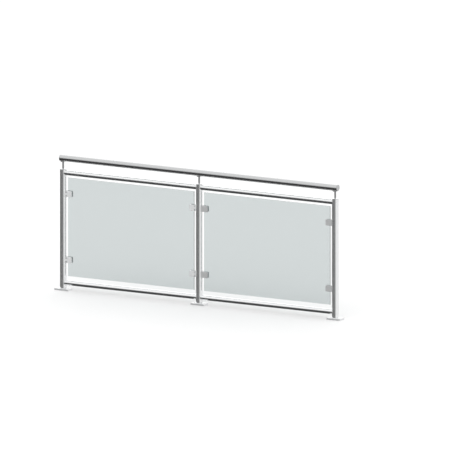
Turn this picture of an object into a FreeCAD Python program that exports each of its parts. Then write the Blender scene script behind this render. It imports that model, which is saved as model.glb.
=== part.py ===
"""Glass balustrade panel: round posts on base plates, two bays of clamped glass, bars and a handrail.

Millimetres, +Z up. X runs along the balustrade and Y through it, with the post axes in the plane Y = 0.
The origin lies on the floor, on the axis of the middle post.
"""

import FreeCAD, Part
import os
from math import sqrt

# Overall layout
HEIGHT = 900.0               # floor to the top of the handrail
POST_PITCH = 1010.0          # distance between neighbouring post axes
RAIL_GAP = 51.6              # open height between a post's cap and the handrail
RAIL_OVERHANG = 21.2         # outer post axis to the handrail's end
UPPER_BAR_DROP = 6.0         # post cap's top down to the upper bar
LOWER_BAR_CLEARANCE = 34.0   # floor to the underside of the lower bar

# Round tubes
POST_D = 42.4
POST_WALL = 2.0
RAIL_D = 42.4
RAIL_WALL = 2.0
BAR_D = 33.7
BAR_WALL = 2.0

# Base plates
BASE_LENGTH = 100.0
BASE_DEPTH = 60.0
BASE_T = 12.0
BASE_BEVEL = 1.0             # round the plate's top
ANCHOR_SPACING = 72.0
ANCHOR_HOLE_D = 11.0

# Post caps, handrail pins and saddles
CAP_T = 4.0
PIN_D = 12.0
SADDLE_LENGTH = 26.0
SADDLE_WIDTH = 24.0
SADDLE_T = 4.0               # under the middle of the handrail
END_CAP_T = 3.0

# Glass panes
GLASS_T = 8.76
GLASS_TOP_GAP = 15.0         # pane to the upper bar
GLASS_BOTTOM_GAP = 28.0      # lower bar to the pane
GLASS_SIDE_GAP = 16.0        # pane to the post's surface
GLASS_ARRIS = 1.0

# Glass clamps
CLAMP_INSET = 108.0          # clamp centre from the pane's top or bottom edge
CLAMP_LENGTH = 50.0          # tips at the post to the far end
CLAMP_HEIGHT = 40.0
CLAMP_DEPTH = 26.0
CLAMP_CLIP = 4.0             # off the corners of the far end
CLAMP_BEVEL = 1.5            # round the outer faces
GASKET_T = 2.0
GASKET_WEB = 3.0             # between the pane's edge and the clamp's heel
GASKET_MARGIN = 0.5          # gasket's corners to the clamp's clipped corners

# Hexagon bolts that hold the clamps to the posts
BOLT_D = 6.0
BOLT_ACROSS_FLATS = 10.0
BOLT_HEAD_H = 4.0
BOLT_HEAD_RECESS = 0.2       # head below the pocket's floor
BOLT_SLOT_CLEARANCE = 0.1    # each side of the head
BOLT_HOLE_CLEARANCE = 0.2    # each side of the shank in the clamp
BOLT_ADJUSTMENT = 2.0        # travel of the bolt up or down in the clamp
BOLT_THREAD_CLEARANCE = 0.05 # round the shank in the post's wall
BOLT_REACH = 9.0             # past the post's outer surface

# Places that follow from the sizes above
POST_R = POST_D / 2
RAIL_R = RAIL_D / 2
BAR_R = BAR_D / 2
POST_TOP = HEIGHT - RAIL_D - RAIL_GAP
RAIL_Z = HEIGHT - RAIL_R
SADDLE_Z = HEIGHT - RAIL_D - SADDLE_T
UPPER_BAR_Z = POST_TOP - UPPER_BAR_DROP - BAR_R
LOWER_BAR_Z = LOWER_BAR_CLEARANCE + BAR_R
GLASS_TOP = UPPER_BAR_Z - BAR_R - GLASS_TOP_GAP
GLASS_BOTTOM = LOWER_BAR_Z + BAR_R + GLASS_BOTTOM_GAP
GLASS_EDGE = POST_R + GLASS_SIDE_GAP
POCKET_HALF = GLASS_T / 2 + GASKET_T
POCKET_FLOOR = GLASS_EDGE - GASKET_WEB
CLAMP_END = sqrt(POST_R**2 - (CLAMP_DEPTH / 2) ** 2) + CLAMP_LENGTH
BOLT_SEAT = POCKET_FLOOR - BOLT_HEAD_RECESS - BOLT_HEAD_H
BOLT_ACROSS_CORNERS = BOLT_ACROSS_FLATS * 2 / sqrt(3)
GASKET_INSET = CLAMP_CLIP / 2 + GASKET_MARGIN

POSTS = {"left": -POST_PITCH, "middle": 0.0, "right": POST_PITCH}
BAYS = {"left": ("left", "middle"), "right": ("middle", "right")}
LEVELS = {"upper": GLASS_TOP - CLAMP_INSET, "lower": GLASS_BOTTOM + CLAMP_INSET}

X_AXIS = FreeCAD.Vector(1, 0, 0)
Y_AXIS = FreeCAD.Vector(0, 1, 0)
Z_AXIS = FreeCAD.Vector(0, 0, 1)
ORIGIN = FreeCAD.Vector(0, 0, 0)


def at(x, y, z):
    return FreeCAD.Vector(x, y, z)


def rod(radius, start, direction, length):
    return Part.makeCylinder(radius, length, start, direction)


def tube(outer_d, wall, start, direction, length):
    outside = rod(outer_d / 2, start, direction, length)
    return outside.cut(rod(outer_d / 2 - wall, start, direction, length))


def slab(length, depth, height, x, z):
    """Block from x and z, with half its depth on each side of Y = 0."""
    return Part.makeBox(length, depth, height, at(x, -depth / 2, z))


def moved(shape, x, y, z):
    copy = shape.copy()
    copy.translate(at(x, y, z))
    return copy


def turned_about(shape, axis, angle):
    copy = shape.copy()
    copy.rotate(ORIGIN, axis, angle)
    return copy


def near(a, b, tolerance=1e-3):
    return abs(a - b) < tolerance


def base_plate():
    flat = slab(BASE_LENGTH, BASE_DEPTH, BASE_T, -BASE_LENGTH / 2, 0)
    flat = flat.makeChamfer(BASE_BEVEL, [edge for edge in flat.Edges if near(edge.BoundBox.ZMin, BASE_T)])
    holes = [rod(ANCHOR_HOLE_D / 2, at(side * ANCHOR_SPACING / 2, 0, 0), Z_AXIS, BASE_T) for side in (-1, 1)]
    return flat.cut(holes)


def post(clamp_sides):
    """Tube with a threaded hole for each clamp on the given sides (-1 or 1 along X)."""
    shaft = tube(POST_D, POST_WALL, at(0, 0, BASE_T), Z_AXIS, POST_TOP - CAP_T - BASE_T)
    hole_r = BOLT_D / 2 + BOLT_THREAD_CLEARANCE
    places = [(side, z) for side in clamp_sides for z in LEVELS.values()]
    return shaft.cut([rod(hole_r, at(0, 0, z), at(side, 0, 0), POST_D) for side, z in places])


def post_cap():
    """Disc welded on the post's end, which carries the handrail's pin."""
    return rod(POST_R, at(0, 0, POST_TOP - CAP_T), Z_AXIS, CAP_T)


def handrail_saddle():
    """Block on the pin, hollowed to the handrail's underside."""
    start = -SADDLE_LENGTH / 2
    block = slab(SADDLE_LENGTH, SADDLE_WIDTH, RAIL_Z - SADDLE_Z, start, SADDLE_Z)
    return block.cut(rod(RAIL_R, at(start, 0, RAIL_Z), X_AXIS, SADDLE_LENGTH))


def handrail_pin():
    return rod(PIN_D / 2, at(0, 0, POST_TOP), Z_AXIS, SADDLE_Z - POST_TOP)


def handrail():
    half = POST_PITCH + RAIL_OVERHANG - END_CAP_T
    return tube(RAIL_D, RAIL_WALL, at(-half, 0, RAIL_Z), X_AXIS, 2 * half)


def handrail_end_cap(side):
    """Disc welded on the handrail's end."""
    tube_end = side * (POST_PITCH + RAIL_OVERHANG - END_CAP_T)
    return rod(RAIL_R, at(tube_end, 0, RAIL_Z), at(side, 0, 0), END_CAP_T)


def bar(bay, z):
    """Tube between two posts, its ends hollowed to seat on them."""
    first, last = [POSTS[name] for name in BAYS[bay]]
    solid = tube(BAR_D, BAR_WALL, at(first, 0, z), X_AXIS, last - first)
    return solid.cut([rod(POST_R, at(x, 0, z - BAR_D), Z_AXIS, 2 * BAR_D) for x in (first, last)])


def glass_pane(bay):
    first, last = [POSTS[name] for name in BAYS[bay]]
    width = last - first - 2 * GLASS_EDGE
    pane = slab(width, GLASS_T, GLASS_TOP - GLASS_BOTTOM, first + GLASS_EDGE, GLASS_BOTTOM)
    rims = [edge for edge in pane.Edges if near(edge.BoundBox.YLength, 0)]
    return pane.makeChamfer(GLASS_ARRIS, rims)


def clamp_cheek(face):
    """Side of a clamp, from the pocket to its outer face (-1 in front, 1 behind), with a bevelled rim."""
    half = CLAMP_HEIGHT / 2
    above = [(0, half), (CLAMP_END - CLAMP_CLIP, half), (CLAMP_END, half - CLAMP_CLIP)]
    outline = above + [(x, -z) for x, z in reversed(above)]
    points = [at(x, face * POCKET_HALF, z) for x, z in outline + outline[:1]]
    outer = face * CLAMP_DEPTH / 2
    cheek = Part.Face(Part.makePolygon(points)).extrude(at(0, outer - face * POCKET_HALF, 0))
    on_outer = [edge for edge in cheek.Edges if near(edge.CenterOfMass.y, outer)]
    return cheek.makeChamfer(CLAMP_BEVEL, [edge for edge in on_outer if edge.CenterOfMass.x > 0])


def post_hollow():
    return rod(POST_R, at(0, 0, -CLAMP_HEIGHT), Z_AXIS, 2 * CLAMP_HEIGHT)


def bolt_slot():
    """Recess that keeps the bolt's head from turning, and a narrower slot for its shank."""
    head_width = BOLT_ACROSS_FLATS + 2 * BOLT_SLOT_CLEARANCE
    head_height = BOLT_ACROSS_CORNERS + 2 * BOLT_ADJUSTMENT
    shank_width = BOLT_D + 2 * BOLT_HOLE_CLEARANCE
    shank_height = BOLT_D + 2 * BOLT_ADJUSTMENT
    recess = slab(POCKET_FLOOR - BOLT_SEAT, head_width, head_height, BOLT_SEAT, -head_height / 2)
    return recess.fuse(slab(BOLT_SEAT, shank_width, shank_height, 0, -shank_height / 2))


def clamp_body():
    """Rear cheek and heel in one piece, seated on the post."""
    heel = slab(POCKET_FLOOR, 2 * POCKET_HALF, CLAMP_HEIGHT, 0, -CLAMP_HEIGHT / 2)
    body = heel.fuse(clamp_cheek(1)).removeSplitter()
    return body.cut([post_hollow(), bolt_slot()])


def clamp_cover():
    """Front cheek, closed on the body's heel."""
    return clamp_cheek(-1).cut(post_hollow())


def clamp_gasket():
    """Moulded channel between the pane and the clamp."""
    half = CLAMP_HEIGHT / 2 - GASKET_INSET
    length = CLAMP_END - GASKET_INSET - POCKET_FLOOR
    channel = slab(length, 2 * POCKET_HALF, 2 * half, POCKET_FLOOR, -half)
    return channel.cut(slab(length, GLASS_T, 2 * half, GLASS_EDGE, -half))


def clamp_bolt():
    """Hexagon bolt along the clamp, its head in the slot and its end inside the post."""
    corner = Part.Vertex(0, 0, BOLT_ACROSS_CORNERS / 2)
    corners = [turned_about(corner, X_AXIS, 60 * k).Point for k in range(6)]
    head = Part.Face(Part.makePolygon(corners + corners[:1])).extrude(at(BOLT_HEAD_H, 0, 0))
    tip = POST_R - BOLT_REACH
    return moved(head, BOLT_SEAT, 0, 0).fuse(rod(BOLT_D / 2, at(tip, 0, 0), X_AXIS, BOLT_SEAT - tip))


def clamp_places():
    """Name and placing of every clamp. The right bay's clamps face the other way from the left bay's."""
    for bay, (first, last) in BAYS.items():
        for post_name, side in ((first, 1), (last, -1)):
            where = "inner" if post_name == "middle" else "outer"
            for level, z in LEVELS.items():
                yield f"{bay}_{where}_{level}", bay, side, POSTS[post_name], z


def placed(shape, bay, side, x, z):
    """A clamp piece, drawn for the +X side of a post at the origin, carried to its own post."""
    if side < 0:
        shape = turned_about(shape, Y_AXIS, 180)
    if bay == "right":
        shape = turned_about(shape, X_AXIS, 180)
    return moved(shape, x, 0, z)


def clamps():
    pieces = {"clamp_body": clamp_body(), "clamp_cover": clamp_cover(), "clamp_gasket": clamp_gasket()}
    bolt = clamp_bolt()
    nodes = {}
    bolts = []
    for name, *place in clamp_places():
        for piece, shape in pieces.items():
            nodes[f"{piece}_{name}"] = placed(shape, *place)
        bolts.append(placed(bolt, *place))
    nodes["clamp_bolts"] = Part.makeCompound(bolts)
    return nodes


def build():
    nodes = {"handrail": handrail()}
    for name, x in POSTS.items():
        clamp_sides = [side for side in (-1, 1) if abs(x + side * POST_PITCH) <= POST_PITCH]
        nodes[f"base_plate_{name}"] = moved(base_plate(), x, 0, 0)
        nodes[f"post_{name}"] = moved(post(clamp_sides), x, 0, 0)
        nodes[f"post_cap_{name}"] = moved(post_cap(), x, 0, 0)
        nodes[f"handrail_pin_{name}"] = moved(handrail_pin(), x, 0, 0)
        nodes[f"handrail_saddle_{name}"] = moved(handrail_saddle(), x, 0, 0)
    for name, side in (("left", -1), ("right", 1)):
        nodes[f"handrail_end_cap_{name}"] = handrail_end_cap(side)
    for bay in BAYS:
        nodes[f"upper_bar_{bay}"] = bar(bay, UPPER_BAR_Z)
        nodes[f"lower_bar_{bay}"] = bar(bay, LOWER_BAR_Z)
        nodes[f"glass_pane_{bay}"] = glass_pane(bay)
    nodes.update(clamps())
    return nodes


os.makedirs("parts", exist_ok=True)
for node, shape in build().items():
    shape.exportStep(f"parts/{node}.step")
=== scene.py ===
"""Dresses the glass balustrade panel: steel finishes, tinted glass, weld beads and cover screws."""

import math
from collections import namedtuple

import bmesh
import bpy
from mathutils import Matrix, Vector


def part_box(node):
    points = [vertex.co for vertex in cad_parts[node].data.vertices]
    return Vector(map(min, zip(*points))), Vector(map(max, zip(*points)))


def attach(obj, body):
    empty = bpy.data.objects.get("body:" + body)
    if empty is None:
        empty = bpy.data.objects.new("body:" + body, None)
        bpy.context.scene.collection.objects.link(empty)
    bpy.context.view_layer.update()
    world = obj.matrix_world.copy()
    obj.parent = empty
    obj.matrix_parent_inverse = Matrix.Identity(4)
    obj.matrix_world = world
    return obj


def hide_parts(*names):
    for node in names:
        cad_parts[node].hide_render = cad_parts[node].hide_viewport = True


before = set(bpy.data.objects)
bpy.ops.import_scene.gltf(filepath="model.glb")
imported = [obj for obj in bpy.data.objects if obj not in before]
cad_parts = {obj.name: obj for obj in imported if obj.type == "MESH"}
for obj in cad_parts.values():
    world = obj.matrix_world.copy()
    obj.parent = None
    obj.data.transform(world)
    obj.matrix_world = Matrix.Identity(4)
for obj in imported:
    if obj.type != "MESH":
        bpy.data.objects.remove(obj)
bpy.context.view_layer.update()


def centre(node):
    """Middle of a CAD node's box."""
    low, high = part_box(node)
    return (low + high) / 2


def half_size(node):
    """Half of a CAD node's box along each axis."""
    low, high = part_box(node)
    return (high - low) / 2


MM = 0.001
BODY = "root"
POSTS = ("left", "middle", "right")
BAY_ENDS = {"left": ("left", "middle"), "right": ("middle", "right")}

# Places and radii of the CAD tubes
POST_X = {place: centre("post_" + place).x for place in POSTS}
POST_R = half_size("post_middle").x
BAR_R = half_size("upper_bar_left").z
RAIL_R = half_size("handrail").z

# The photograph's view: turn, tilt, width across the frame and the point aimed at
AZIMUTH = math.radians(28.5)
ELEVATION = math.radians(11.62)
VIEW_WIDTH = 3.002
AIM_RIGHT = 0.2006
AIM_UP = 0.4869
CAMERA_DISTANCE = 8.0

# Grain of a finish, in features a metre along each axis
ROUND_X = (420.0, 14.0, 14.0)
ROUND_Z = (14.0, 14.0, 420.0)
STRAIGHT_X = (16.0, 420.0, 420.0)
BLASTED = (900.0, 900.0, 900.0)

# Steel finishes: darkest and lightest grey, least and most roughness, grain, and how much of it mirrors
Finish = namedtuple("Finish", "dark light smooth rough grain metallic")
HANDRAIL_FINISH = Finish(0.56, 0.65, 0.18, 0.28, ROUND_X, 1.0)
BAR_FINISH = Finish(0.85, 0.95, 0.18, 0.28, ROUND_X, 1.0)
POST_FINISH = Finish(0.85, 0.95, 0.18, 0.28, ROUND_Z, 0.92)
CAP_FINISH = Finish(0.75, 0.86, 0.24, 0.36, BLASTED, 1.0)
END_CAP_FINISH = Finish(0.53, 0.62, 0.24, 0.36, BLASTED, 1.0)
# The pins get a darker copy of the fittings' steel
PIN_FINISH = Finish(0.37, 0.46, 0.20, 0.30, ROUND_Z, 1.0)
PLATE_FINISH = Finish(0.72, 0.92, 0.30, 0.44, STRAIGHT_X, 0.65)
COVER_FINISH = Finish(0.77, 0.84, 0.38, 0.52, BLASTED, 0.35)
# Painted shade: the clamp bodies take a darker copy of the covers' steel, so clamps that show their bodies
# at the front look shaded
SHADED_CLAMP_FINISH = Finish(0.475, 0.555, 0.40, 0.55, BLASTED, 0.35)
WELD_FINISH = Finish(0.70, 0.88, 0.28, 0.45, BLASTED, 1.0)
SCREW_FINISH = Finish(0.60, 0.72, 0.25, 0.40, BLASTED, 1.0)
TUBE_FINISHES = {
    "handrail": HANDRAIL_FINISH,
    "post": POST_FINISH,
    "upper_bar": BAR_FINISH,
    "lower_bar": BAR_FINISH,
}
STEEL_TINT = Vector((0.985, 0.995, 1.0))
GRAIN_DETAIL = 4.0
MARKS = (9.0, 9.0, 9.0)
MARKS_DETAIL = 3.0
MARKS_SHARE = 0.5
GRAIN_RELIEF = 0.06
GRAIN_DEPTH = 0.2 * MM

# Gasket rubber
RUBBER_TONES = ((0.60, 0.61, 0.61), (0.68, 0.69, 0.69))
RUBBER_ROUGHNESS = (0.60, 0.85)

# Glass: what each of a pane's two faces lets through, its mirror finish, and its edges with the interlayer
GLASS_TINT = (0.798, 0.822, 0.823, 1.0)
GLASS_IOR = 1.5
GLASS_ROUGHNESS = 0.03
EDGE_TONE = (0.05, 0.075, 0.075)
INTERLAYER_TONE = (0.30, 0.34, 0.335)
EDGE_ROUGHNESS = 0.12
INTERLAYER_HALF = 0.38 * MM
FACE_NORMAL = 0.6

# Pieces whose edges are rounded: finish, slot and the rounding's size
EASED = {
    "handrail_end_cap": (END_CAP_FINISH, "fitting", 0.8 * MM),
    "handrail_pin": (PIN_FINISH, "fitting", 0.3 * MM),
    "handrail_saddle": (CAP_FINISH, "fitting", 0.5 * MM),
    "post_cap": (CAP_FINISH, "fitting", 0.8 * MM),
    "base_plate": (PLATE_FINISH, "base_plate", 0.4 * MM),
    # The clamp bodies' steel is darkened with painted shade
    "clamp_body": (SHADED_CLAMP_FINISH, "clamp_body", 0.5 * MM),
}
COVER_EDGE = 0.5 * MM
EDGE_SEGMENTS = 3
EDGE_PROFILE = 0.5
SHARP_ANGLE = math.radians(20)
SMOOTH_ANGLE = math.radians(40)
FLAT_ANGLE = math.radians(0.5)
JOIN_DISTANCE = 0.001 * MM

# Weld beads
BEAD_R = 1.9 * MM
BEAD_SUNK = 0.5 * MM
BEAD_SIDES = 12
BEAD_END = 0.12
RIPPLE_PITCH = 2.2 * MM
RIPPLE_DEPTH = 0.12
RIPPLE_STEPS = 6

# Countersunk hexagon-socket screws that close the clamp covers
SCREW_FROM_POST = 27.7 * MM
SCREW_SPREAD = 12.5 * MM
SHANK_R = 2.5 * MM
HEAD_R = 4.6 * MM
HEAD_H = 2.3 * MM
HEAD_SUNK = 0.15 * MM
HEAD_EDGE = 0.25 * MM
SOCKET_HALF = 1.5 * MM
SOCKET_DEPTH = 1.6 * MM
SOCKET_POINT_R = 0.3 * MM
SOCKET_POINT_H = 0.4 * MM
SINK_CLEARANCE = 0.35 * MM
SINK_DEPTH = 4.0 * MM
SINK_OVERSHOOT = 1.0 * MM
ROUND_STEPS = 48

# Studio: white floor, light above the horizon and dark below it, and a soft sun
FLOOR_HALF = 30.0
FLOOR_TONE = (0.855, 0.855, 0.855, 1.0)
WHITE = (1.0, 1.0, 1.0, 1.0)
SKY_LIGHT = 1.3
GROUND_LIGHT = 0.08
HORIZON_LOW = -0.22
HORIZON_HIGH = 0.25
SUN_STRENGTH = 0.6
SUN_ANGLE = math.radians(70)
SUN_TURN = (math.radians(30), math.radians(20), 0.0)

# Light panels: the way to each, the cosines off it where the light starts and is full, and the strength
Panel = namedtuple("Panel", "way start full light")
RIGHT_PANEL = Panel((0.93, 0.37, 0.0), -0.30, 0.70, 1.15)
REAR_PANEL = Panel((-0.42, 0.77, 0.48), 0.70, 0.90, 1.90)
PANEL_FOOT = -0.60
PANEL_CLEAR = -0.25


class NodeTree:
    """A shader tree with short calls for the nodes that the finishes and the studio share."""

    def __init__(self, tree):
        tree.nodes.clear()
        self.tree = tree

    def add(self, kind, inputs=None, **settings):
        """A node with its settings made and its inputs set to values or linked to other nodes' outputs."""
        node = self.tree.nodes.new(kind)
        for name, value in settings.items():
            setattr(node, name, value)
        for name, value in (inputs or {}).items():
            if isinstance(value, bpy.types.NodeSocket):
                self.tree.links.new(value, node.inputs[name])
            else:
                node.inputs[name].default_value = value
        return node

    def noise(self, scale, detail):
        """Noise in the row frame, stretched by a scale for each axis."""
        place = self.add("ShaderNodeTexCoord").outputs["Object"]
        stretched = self.add("ShaderNodeMapping", {"Vector": place, "Scale": scale}).outputs["Vector"]
        texture = self.add("ShaderNodeTexNoise", {"Vector": stretched, "Scale": 1.0, "Detail": detail})
        return texture.outputs["Fac"]

    def colour(self, factor, low, high):
        """A colour between two others."""
        ends = {"Factor": factor, "A": (*low, 1.0), "B": (*high, 1.0)}
        return self.add("ShaderNodeMix", ends, data_type="RGBA").outputs["Result"]

    def spread(self, value, low, high):
        """A value from 0 to 1 spread between two others."""
        inputs = {"Value": value, "To Min": low, "To Max": high}
        return self.add("ShaderNodeMapRange", inputs).outputs["Result"]

    def step(self, value, start, end, low, high):
        """A smooth step from low to high."""
        inputs = {"Value": value, "From Min": start, "From Max": end, "To Min": low, "To Max": high}
        return self.add("ShaderNodeMapRange", inputs, interpolation_type="SMOOTHSTEP").outputs["Result"]

    def maths(self, operation, *values):
        """The result of one sum or comparison."""
        return self.add("ShaderNodeMath", dict(enumerate(values)), operation=operation).outputs["Value"]

    def part(self, vector, axis):
        """A vector's length along one axis."""
        return self.add("ShaderNodeSeparateXYZ", {"Vector": vector}).outputs[axis]

    def mix(self, factor, first, second):
        """Two shaders mixed."""
        return self.add("ShaderNodeMixShader", {"Fac": factor, 1: first, 2: second}).outputs["Shader"]

    def show(self, kind, surface):
        """The tree's output."""
        self.add(kind, {"Surface": surface})


def new_material(name):
    """An empty node material and its tree."""
    material = bpy.data.materials.new(name)
    material.use_nodes = True
    return material, NodeTree(material.node_tree)


def steel(name, finish):
    """Stainless steel with a fine grain and faint handling marks."""
    material, tree = new_material(name)
    grain = tree.noise(finish.grain, GRAIN_DETAIL)
    marks = tree.noise(MARKS, MARKS_DETAIL)
    wear = tree.maths("MULTIPLY_ADD", marks, MARKS_SHARE, tree.spread(grain, 0.0, 1 - MARKS_SHARE))
    bump = {"Height": grain, "Strength": GRAIN_RELIEF, "Distance": GRAIN_DEPTH}
    relief = tree.add("ShaderNodeBump", bump)
    surface = tree.add("ShaderNodeBsdfPrincipled", {
        "Base Color": tree.colour(grain, finish.dark * STEEL_TINT, finish.light * STEEL_TINT),
        "Metallic": finish.metallic,
        "Roughness": tree.spread(wear, finish.smooth, finish.rough),
        "Normal": relief.outputs["Normal"],
    })
    tree.show("ShaderNodeOutputMaterial", surface.outputs["BSDF"])
    return material


def rubber(name):
    """Matt grey gasket rubber."""
    material, tree = new_material(name)
    grain = tree.noise(BLASTED, GRAIN_DETAIL)
    surface = tree.add("ShaderNodeBsdfPrincipled", {
        "Base Color": tree.colour(grain, *RUBBER_TONES),
        "Roughness": tree.spread(grain, *RUBBER_ROUGHNESS),
    })
    tree.show("ShaderNodeOutputMaterial", surface.outputs["BSDF"])
    return material


def tinted_glass(name):
    """Grey-tinted glass that mirrors on its outer side."""
    material, tree = new_material(name)
    clear = tree.add("ShaderNodeBsdfTransparent", {"Color": GLASS_TINT}).outputs["BSDF"]
    mirror = tree.add("ShaderNodeBsdfGlossy", {"Roughness": GLASS_ROUGHNESS}).outputs["BSDF"]
    outside = tree.mix(tree.add("ShaderNodeFresnel", {"IOR": GLASS_IOR}).outputs["Fac"], clear, mirror)
    inside = tree.add("ShaderNodeNewGeometry").outputs["Backfacing"]
    tree.show("ShaderNodeOutputMaterial", tree.mix(inside, outside, clear))
    return material


def glass_edge(name):
    """Polished edge of laminated glass, dark with the interlayer's line. Seen from inside it is clear."""
    material, tree = new_material(name)
    depth = tree.part(tree.add("ShaderNodeTexCoord").outputs["Object"], "Y")
    interlayer = tree.maths("COMPARE", depth, 0.0, INTERLAYER_HALF)
    outside = tree.add("ShaderNodeBsdfPrincipled", {
        "Base Color": tree.colour(interlayer, EDGE_TONE, INTERLAYER_TONE),
        "Roughness": EDGE_ROUGHNESS,
    }).outputs["BSDF"]
    clear = tree.add("ShaderNodeBsdfTransparent", {"Color": GLASS_TINT}).outputs["BSDF"]
    inside = tree.add("ShaderNodeNewGeometry").outputs["Backfacing"]
    tree.show("ShaderNodeOutputMaterial", tree.mix(inside, outside, clear))
    return material


def nodes_of(kind):
    """Names of the CAD nodes of one kind, which end in their places."""
    placed = tuple(f"{kind}_{place}" for place in POSTS)
    return [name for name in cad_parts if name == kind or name.startswith(placed)]


def add_piece(name, mesh, material):
    """A shown piece of the object, with one material."""
    piece = bpy.data.objects.new(name, mesh)
    bpy.context.scene.collection.objects.link(piece)
    mesh.materials.clear()
    mesh.materials.append(material)
    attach(piece, BODY)
    return piece


def mesh_from(name, bm):
    """A mesh with its faces turned outwards and smooth shading, split at sharp edges."""
    bmesh.ops.recalc_face_normals(bm, faces=bm.faces)
    mesh = bpy.data.meshes.new(name)
    bm.to_mesh(mesh)
    bm.free()
    mesh.shade_smooth()
    mesh.set_sharp_from_angle(angle=SMOOTH_ANGLE)
    return mesh


def add_skin(bm, rows, closed=False):
    """Faces between rows of points, each a loop. The end rows are capped, or joined if closed."""
    loops = [[bm.verts.new(point) for point in row] for row in rows]
    pairs = list(zip(loops, loops[1:]))
    if closed:
        pairs.append((loops[-1], loops[0]))
    else:
        bm.faces.new(loops[0])
        bm.faces.new(loops[-1])
    for near, far in pairs:
        for i in range(len(near)):
            j = (i + 1) % len(near)
            bm.faces.new((near[i], near[j], far[j], far[i]))


def keep_node(node, material):
    """A CAD node shown as it is, with a finished material."""
    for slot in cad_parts[node].material_slots:
        slot.link = "OBJECT"
        slot.material = material


def even_shading(piece):
    """Shading that stays even over a piece's flat faces."""
    piece.modifiers.new("face_normals", "WEIGHTED_NORMAL").keep_sharp = True


def whole_faces(node):
    """A CAD node's own form, with each flat face in one."""
    bm = bmesh.new()
    bm.from_mesh(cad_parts[node].data)
    bmesh.ops.remove_doubles(bm, verts=bm.verts, dist=JOIN_DISTANCE)
    bmesh.ops.dissolve_limit(bm, angle_limit=FLAT_ANGLE, verts=bm.verts, edges=bm.edges)
    return bm


def eased(node, material, edge):
    """A piece in a CAD node's place, with the node's own form and its edges rounded."""
    bm = whole_faces(node)
    sharp = [e for e in bm.edges if e.is_manifold and e.calc_face_angle() > SHARP_ANGLE]
    bmesh.ops.bevel(
        bm,
        geom=sharp,
        offset=edge,
        segments=EDGE_SEGMENTS,
        profile=EDGE_PROFILE,
        affect="EDGES",
        clamp_overlap=True,
    )
    name = node + "_eased"
    piece = add_piece(name, mesh_from(name, bm), material)
    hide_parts(node)
    return piece


def polished(node, glass, edge):
    """A pane in a CAD node's place, with the node's own form and its edges in a finish of their own."""
    name = node + "_polished"
    mesh = mesh_from(name, whole_faces(node))
    mesh.shade_flat()
    piece = add_piece(name, mesh, glass)
    mesh.materials.append(edge)
    for face in mesh.polygons:
        face.material_index = int(abs(face.normal.y) < FACE_NORMAL)
    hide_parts(node)


def bead_section(point, first, second, radius):
    """A round section of a weld bead in the corner between two surfaces with these normals."""
    out = (first + second).normalized()
    side = first.cross(second).normalized().cross(out)
    heart = point - out * BEAD_SUNK
    turns = [2 * math.pi * k / BEAD_SIDES for k in range(BEAD_SIDES)]
    return [heart + radius * (math.cos(t) * out + math.sin(t) * side) for t in turns]


def add_bead(bm, joint, length, closed=True):
    """A rippled weld bead along a joint, which gives a point and two normals for 0 to 1 along it.

    An open bead thins out at its ends.
    """
    count = round(length / RIPPLE_PITCH) * RIPPLE_STEPS
    rows = []
    for i in range(count if closed else count + 1):
        swell = abs(math.sin(math.pi * i / RIPPLE_STEPS))
        radius = BEAD_R * (1 - RIPPLE_DEPTH * (1 - swell))
        if not closed:
            from_end = min(i, count - i) / RIPPLE_STEPS
            radius *= min(1.0, math.sqrt(BEAD_END + from_end))
        rows.append(bead_section(*joint(i / count), radius))
    add_skin(bm, rows, closed)


def bar_joint(post_x, side, z):
    """The joint between a bar and a post, all round the bar."""
    def at(share):
        turn = 2 * math.pi * share
        bar_normal = Vector((0.0, math.cos(turn), math.sin(turn)))
        y = BAR_R * bar_normal.y
        reach = side * math.sqrt(POST_R ** 2 - y ** 2)
        point = Vector((post_x + reach, y, z + BAR_R * bar_normal.z))
        return point, bar_normal, Vector((reach, y, 0.0)) / POST_R
    return at


def ring_joint(x, radius, z, facing):
    """The joint between an upright round piece and a level face that looks up or down."""
    def at(share):
        turn = 2 * math.pi * share
        away = Vector((math.cos(turn), math.sin(turn), 0.0))
        return Vector((x, 0.0, z)) + radius * away, away, Vector((0.0, 0.0, facing))
    return at


def saddle_joint(saddle, side):
    """The joint between the handrail and one long side of a saddle."""
    low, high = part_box(saddle)
    y = side * half_size(saddle).y
    rail_normal = Vector((0.0, y, -math.sqrt(RAIL_R ** 2 - y ** 2))) / RAIL_R
    z = centre("handrail").z + RAIL_R * rail_normal.z

    def at(share):
        return Vector((low.x + share * (high.x - low.x), y, z)), Vector((0.0, side, 0.0)), rail_normal
    return at


def add_bar_welds(material):
    """Beads at both ends of every bar."""
    bm = bmesh.new()
    for kind in ("upper_bar", "lower_bar"):
        for bay, ends in BAY_ENDS.items():
            z = centre(f"{kind}_{bay}").z
            for side, post in zip((1, -1), ends):
                add_bead(bm, bar_joint(POST_X[post], side, z), 2 * math.pi * BAR_R)
    add_piece("bar_welds", mesh_from("bar_welds", bm), material)


def add_post_welds(material):
    """Beads at the post feet, at both ends of the handrail pins and along the saddles."""
    bm = bmesh.new()
    for post in POSTS:
        x = POST_X[post]
        foot_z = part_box("base_plate_" + post)[1].z
        pin_r = half_size("handrail_pin_" + post).x
        pin_low, pin_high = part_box("handrail_pin_" + post)
        rings = ((POST_R, foot_z, 1.0), (pin_r, pin_low.z, 1.0), (pin_r, pin_high.z, -1.0))
        for radius, z, facing in rings:
            add_bead(bm, ring_joint(x, radius, z, facing), 2 * math.pi * radius)
        saddle = "handrail_saddle_" + post
        for side in (-1, 1):
            add_bead(bm, saddle_joint(saddle, side), 2 * half_size(saddle).x, closed=False)
    add_piece("post_welds", mesh_from("post_welds", bm), material)


def circle(radius, height):
    """A round row of points about Z."""
    turns = [2 * math.pi * k / ROUND_STEPS for k in range(ROUND_STEPS)]
    return [Vector((radius * math.cos(t), radius * math.sin(t), height)) for t in turns]


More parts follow.
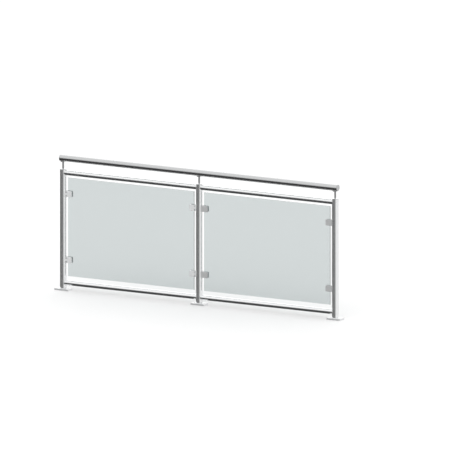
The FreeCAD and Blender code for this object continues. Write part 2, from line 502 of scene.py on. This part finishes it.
def hexagon(half, height):
    """A hexagonal row of points about Z, as many as in a circle."""
    sixth = math.pi / 3
    row = []
    for k in range(ROUND_STEPS):
        turn = 2 * math.pi * k / ROUND_STEPS
        reach = half / math.cos((turn + sixth / 2) % sixth - sixth / 2)
        row.append(Vector((reach * math.cos(turn), reach * math.sin(turn), height)))
    return row


def screw_rows():
    """A countersunk screw just below zero height, with its hexagon socket open upwards."""
    top = -HEAD_SUNK
    return [
        circle(SHANK_R, -SINK_DEPTH),
        circle(SHANK_R, top - HEAD_H),
        circle(HEAD_R, top - HEAD_EDGE),
        circle(HEAD_R - HEAD_EDGE / 2, top),
        hexagon(SOCKET_HALF + HEAD_EDGE / 2, top),
        hexagon(SOCKET_HALF, top - HEAD_EDGE / 2),
        hexagon(SOCKET_HALF, top - SOCKET_DEPTH),
        circle(SOCKET_POINT_R, top - SOCKET_DEPTH - SOCKET_POINT_H),
    ]


def sink_rows():
    """The countersunk hole that a screw sits in, open above zero height."""
    wide = HEAD_R + SINK_CLEARANCE
    return [
        circle(SHANK_R, -SINK_DEPTH),
        circle(SHANK_R, -HEAD_H),
        circle(wide, 0.0),
        circle(wide + SINK_OVERSHOOT, SINK_OVERSHOOT),
    ]


def add_at(bm, rows, places):
    """The same skin at several places."""
    for place in places:
        add_skin(bm, [[place @ point for point in row] for row in rows])


def screw_places(cover):
    """Matrices that set a screw on the outer face of a clamp cover."""
    low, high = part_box(cover)
    middle = centre(cover)
    post_x = min(POST_X.values(), key=lambda x: abs(x - middle.x))
    x = post_x + math.copysign(SCREW_FROM_POST, middle.x - post_x)
    in_front = middle.y < 0
    y = low.y if in_front else high.y
    turn = Matrix.Rotation(math.radians(90 if in_front else -90), 4, "X")
    levels = (middle.z - SCREW_SPREAD, middle.z + SCREW_SPREAD)
    return [Matrix.Translation((x, y, z)) @ turn for z in levels]


def cut_sinks(piece, places):
    """Countersunk holes in a piece, one at each place."""
    bm = bmesh.new()
    add_at(bm, sink_rows(), places)
    cutter = bpy.data.objects.new("cutter", mesh_from("cutter", bm))
    bpy.context.scene.collection.objects.link(cutter)
    cut = piece.modifiers.new("sinks", "BOOLEAN")
    cut.object = cutter
    cut.solver = "EXACT"
    ready = piece.evaluated_get(bpy.context.evaluated_depsgraph_get())
    piece.data = bpy.data.meshes.new_from_object(ready)
    piece.data.set_sharp_from_angle(angle=SMOOTH_ANGLE)
    piece.modifiers.clear()
    bpy.data.objects.remove(cutter)


def add_covers(cover_material, screw_material):
    """Clamp covers with countersunk holes, and their screws."""
    bm = bmesh.new()
    for node in nodes_of("clamp_cover"):
        places = screw_places(node)
        cover = eased(node, cover_material, COVER_EDGE)
        cut_sinks(cover, places)
        even_shading(cover)
        add_at(bm, screw_rows(), places)
    add_piece("cover_screws", mesh_from("cover_screws", bm), screw_material)


def dress_tubes():
    """Brushed steel on the tubes, which keep their CAD form."""
    for kind, finish in TUBE_FINISHES.items():
        material = steel(kind + "_steel", finish)
        for node in nodes_of(kind):
            keep_node(node, material)


def dress_fittings():
    """Steel fittings with their edges rounded."""
    for kind, (finish, slot, edge) in EASED.items():
        material = steel(kind + "_steel", finish)
        for node in nodes_of(kind):
            even_shading(eased(node, material, edge))


def dress_panes():
    """Glass panes with polished edges, and their gaskets."""
    glass = tinted_glass("glass")
    edge = glass_edge("glass_edge")
    for node in nodes_of("glass_pane"):
        polished(node, glass, edge)
    gasket = rubber("gasket_rubber")
    for node in nodes_of("clamp_gasket"):
        keep_node(node, gasket)


def add_camera():
    """A parallel view at the photograph's angle and scale."""
    right = Vector((math.cos(AZIMUTH), math.sin(AZIMUTH), 0.0))
    level = Vector((math.sin(AZIMUTH), -math.cos(AZIMUTH), 0.0))
    back = level * math.cos(ELEVATION) + Vector((0.0, 0.0, math.sin(ELEVATION)))
    up = back.cross(right)
    data = bpy.data.cameras.new("photo_view")
    data.type = "ORTHO"
    data.ortho_scale = VIEW_WIDTH
    camera = bpy.data.objects.new("photo_view", data)
    camera.matrix_world = Matrix((right, up, back)).transposed().to_4x4()
    camera.location = right * AIM_RIGHT + up * AIM_UP + back * CAMERA_DISTANCE
    bpy.context.scene.collection.objects.link(camera)
    bpy.context.scene.camera = camera


def add_floor():
    """A plain pale floor that the steel doesn't mirror."""
    bm = bmesh.new()
    bmesh.ops.create_grid(bm, x_segments=1, y_segments=1, size=FLOOR_HALF)
    floor = bpy.data.objects.new("floor", mesh_from("floor", bm))
    bpy.context.scene.collection.objects.link(floor)
    material, tree = new_material("floor_paint")
    paint = tree.add("ShaderNodeBsdfDiffuse", {"Color": FLOOR_TONE})
    tree.show("ShaderNodeOutputMaterial", paint.outputs["BSDF"])
    floor.data.materials.append(material)
    floor.visible_glossy = False


def add_surround():
    """Soft light from all sides, and plain white where the camera looks past the floor."""
    world = bpy.data.worlds.new("studio")
    world.use_nodes = True
    tree = NodeTree(world.node_tree)
    outwards = tree.add("ShaderNodeTexCoord").outputs["Generated"]
    height = tree.part(outwards, "Z")
    strength = tree.step(height, HORIZON_LOW, HORIZON_HIGH, GROUND_LIGHT, SKY_LIGHT)
    panel_height = tree.step(height, PANEL_FOOT, PANEL_CLEAR, 0.0, 1.0)
    for panel in (RIGHT_PANEL, REAR_PANEL):
        aim = tree.add("ShaderNodeVectorMath", {0: outwards, 1: panel.way}, operation="DOT_PRODUCT")
        panel_width = tree.step(aim.outputs["Value"], panel.start, panel.full, 0.0, panel.light)
        strength = tree.maths("MAXIMUM", strength, tree.maths("MULTIPLY", panel_width, panel_height))
    light = tree.add("ShaderNodeBackground", {"Strength": strength})
    plain = tree.add("ShaderNodeBackground", {"Color": WHITE})
    seen = tree.add("ShaderNodeLightPath").outputs["Is Camera Ray"]
    shown = tree.mix(seen, light.outputs["Background"], plain.outputs["Background"])
    tree.show("ShaderNodeOutputWorld", shown)
    bpy.context.scene.world = world


def add_sun():
    """A broad soft light from above that whitens the floor."""
    data = bpy.data.lights.new("overhead", "SUN")
    data.energy = SUN_STRENGTH
    data.angle = SUN_ANGLE
    sun = bpy.data.objects.new("overhead", data)
    sun.rotation_euler = SUN_TURN
    sun.visible_glossy = False
    bpy.context.scene.collection.objects.link(sun)


screw_steel = steel("screw_steel", SCREW_FINISH)
weld_steel = steel("weld_steel", WELD_FINISH)
dress_tubes()
dress_fittings()
dress_panes()
keep_node("clamp_bolts", screw_steel)
add_covers(steel("clamp_cover_steel", COVER_FINISH), screw_steel)
add_bar_welds(weld_steel)
add_post_welds(weld_steel)
add_camera()
add_floor()
add_surround()
add_sun()
bpy.context.scene.view_settings.view_transform = "Standard"
